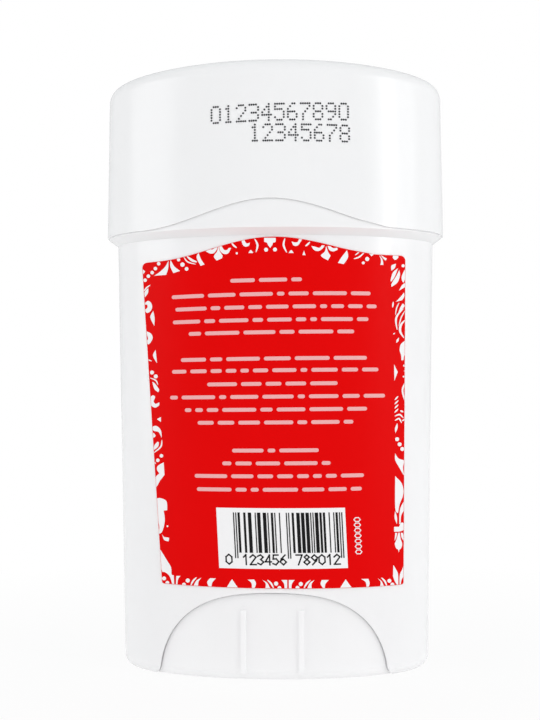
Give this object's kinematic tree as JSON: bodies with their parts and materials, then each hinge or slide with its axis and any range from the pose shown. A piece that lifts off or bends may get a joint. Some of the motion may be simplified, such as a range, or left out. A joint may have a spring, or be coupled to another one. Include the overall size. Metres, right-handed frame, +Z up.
{
  "type": "deodorant stick",
  "caption": "Oval twist-up stick in a translucent pack: a dial in the foot turns a screw that lifts the stick, and a cap pulls off the top.",
  "frame": {"origin": "centre of the foot, on the surface that the pack stands on", "axes": "+Z up along the screw, +X along the oval, -Y out of the labelled face"},
  "size_m": [0.0642, 0.0356, 0.112],
  "materials": {
    "body_plastic": "milky translucent, moulded smooth",
    "cap_plastic": "milky translucent, moulded smooth",
    "dial_plastic": "milky translucent, moulded smooth",
    "inner_plastic": "natural moulded",
    "wax": "smooth waxy white",
    "label_film": "printed satin film"
  },
  "bodies": {
    "container": {"container": "body_plastic", "back_label": "label_film"},
    "dial": {"dial": "dial_plastic", "screw_spindle": "inner_plastic"},
    "carrier": {"elevator": "inner_plastic", "wax_stick": "wax"},
    "cap": {"cap": "cap_plastic"}
  },
  "joints": [
    {"name": "dial_spin", "type": "hinge", "parent": "container", "child": "dial", "pos_m": [0, 0, 0], "axis": [0, 0, -1], "range_deg": [0, 4320]},
    {"name": "stick_rise", "type": "slide", "parent": "container", "child": "carrier", "axis": [0, 0, 1], "range_m": [0, 0.06]},
    {"name": "cap_lift", "type": "slide", "parent": "carrier", "child": "cap", "axis": [0, 0, 1], "range_m": [0, 0.045]}
  ],
  "couplings": [
    {"joint": "dial_spin", "follows": "stick_rise", "rad_per_m": 1256.6}
  ]
}
